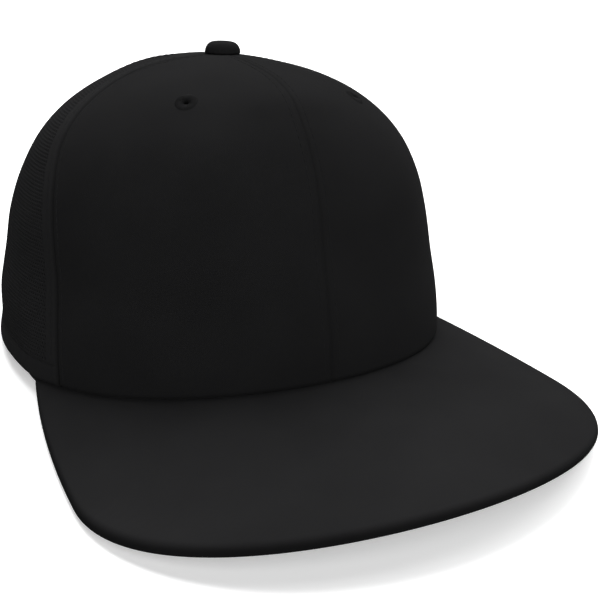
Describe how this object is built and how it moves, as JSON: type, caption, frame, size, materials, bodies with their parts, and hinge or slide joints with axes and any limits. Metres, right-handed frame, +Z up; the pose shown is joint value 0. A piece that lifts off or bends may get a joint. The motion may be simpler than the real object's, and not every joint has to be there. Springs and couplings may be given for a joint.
{
  "type": "mesh baseball cap",
  "caption": "High-crowned six-panel baseball cap with a flat bill, mesh side and back panels and a snap strap across the back arch.",
  "frame": {"origin": "on the table under the middle of the cap's bounding box, with the cap standing by itself", "axes": "+Z up; the bill points along -Y, the back opening faces +Y, and the wearer's left is +X"},
  "size_m": [0.198, 0.2738, 0.1222],
  "materials": {
    "crown_cloth": "matte black twill",
    "crown_mesh": "fine black polyester mesh",
    "bill_cloth": "matte black twill over a flat stiffener",
    "thread": "black embroidery thread with a low sheen",
    "band_cloth": "black cotton band",
    "binding_tape": "black woven tape",
    "strap_plastic": "black moulded plastic, satin"
  },
  "bodies": {
    "root": {"front_panel_right": "crown_cloth", "front_panel_left": "crown_cloth", "side_panel_right": "crown_mesh", "side_panel_left": "crown_mesh", "back_panel_right": "crown_mesh", "back_panel_left": "crown_mesh", "eyelet_right": "thread", "eyelet_left": "thread", "bill": "bill_cloth", "top_button": "crown_cloth", "sweatband": "band_cloth", "arch_binding": "binding_tape", "snap_strap": "strap_plastic"}
  },
  "joints": []
}
